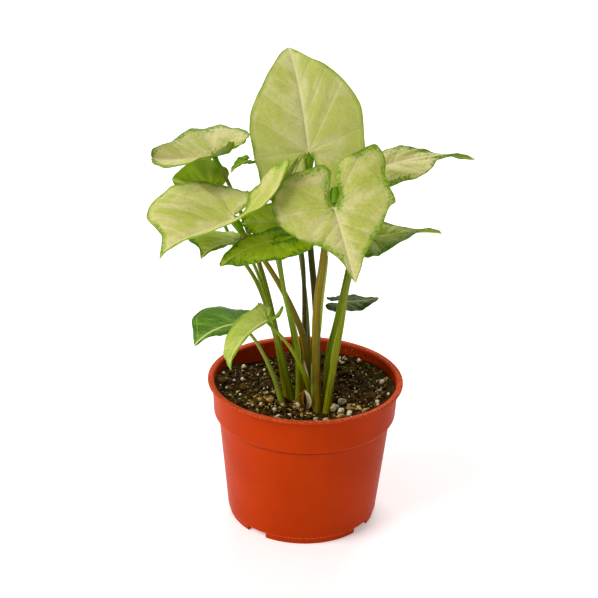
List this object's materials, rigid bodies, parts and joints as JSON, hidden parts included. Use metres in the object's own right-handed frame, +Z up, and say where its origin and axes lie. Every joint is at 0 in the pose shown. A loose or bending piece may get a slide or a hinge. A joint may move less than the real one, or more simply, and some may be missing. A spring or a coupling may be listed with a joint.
{
  "type": "potted arrowhead plant",
  "caption": "Bushy arrowhead vine with pale variegated arrow-shaped leaves on upright stems, standing in soil in a round plastic nursery pot with a flanged rim.",
  "frame": {"origin": "middle of the pot's foot ring, on the plane it stands on", "axes": "+Z up along the pot's axis, +X across to the plant's right as seen from its open front, and -Y towards that front"},
  "size_m": [0.1738, 0.11, 0.2599],
  "materials": {
    "pot_plastic": "gloss",
    "potting_soil": "matte",
    "leaf_lime": "satin",
    "leaf_cream": "satin",
    "leaf_green": "satin",
    "leaf_olive": "satin",
    "leaf_dark": "satin",
    "stem_olive": "satin",
    "stem_green": "satin",
    "stem_brown": "satin"
  },
  "bodies": {
    "root": {"pot": "pot_plastic", "soil": "potting_soil", "leaf_tall_back": "leaf_lime", "leaf_front_right": "leaf_cream", "leaf_front_left": "leaf_lime", "leaf_upper_left": "leaf_cream", "leaf_under_left": "leaf_green", "leaf_upper_right": "leaf_cream", "leaf_lower_right": "leaf_olive", "leaf_centre_left": "leaf_olive", "leaf_inner": "leaf_olive", "leaf_mid_left": "leaf_dark", "leaf_back_tip": "leaf_green", "leaf_rolled": "leaf_lime", "leaf_low_right": "leaf_dark", "leaf_low_left": "leaf_dark", "leaf_low_front": "leaf_green", "stem_tall_back": "stem_brown", "stem_front_right": "stem_brown", "stem_front_left": "stem_brown", "stem_upper_left": "stem_olive", "stem_under_left": "stem_green", "stem_upper_right": "stem_green", "stem_lower_right": "stem_olive", "stem_centre_left": "stem_olive", "stem_inner": "stem_brown", "stem_mid_left": "stem_olive", "stem_back_tip": "stem_green", "stem_rolled": "stem_green", "stem_low_right": "stem_green", "stem_low_left": "stem_olive", "stem_low_front": "stem_olive"}
  },
  "joints": []
}
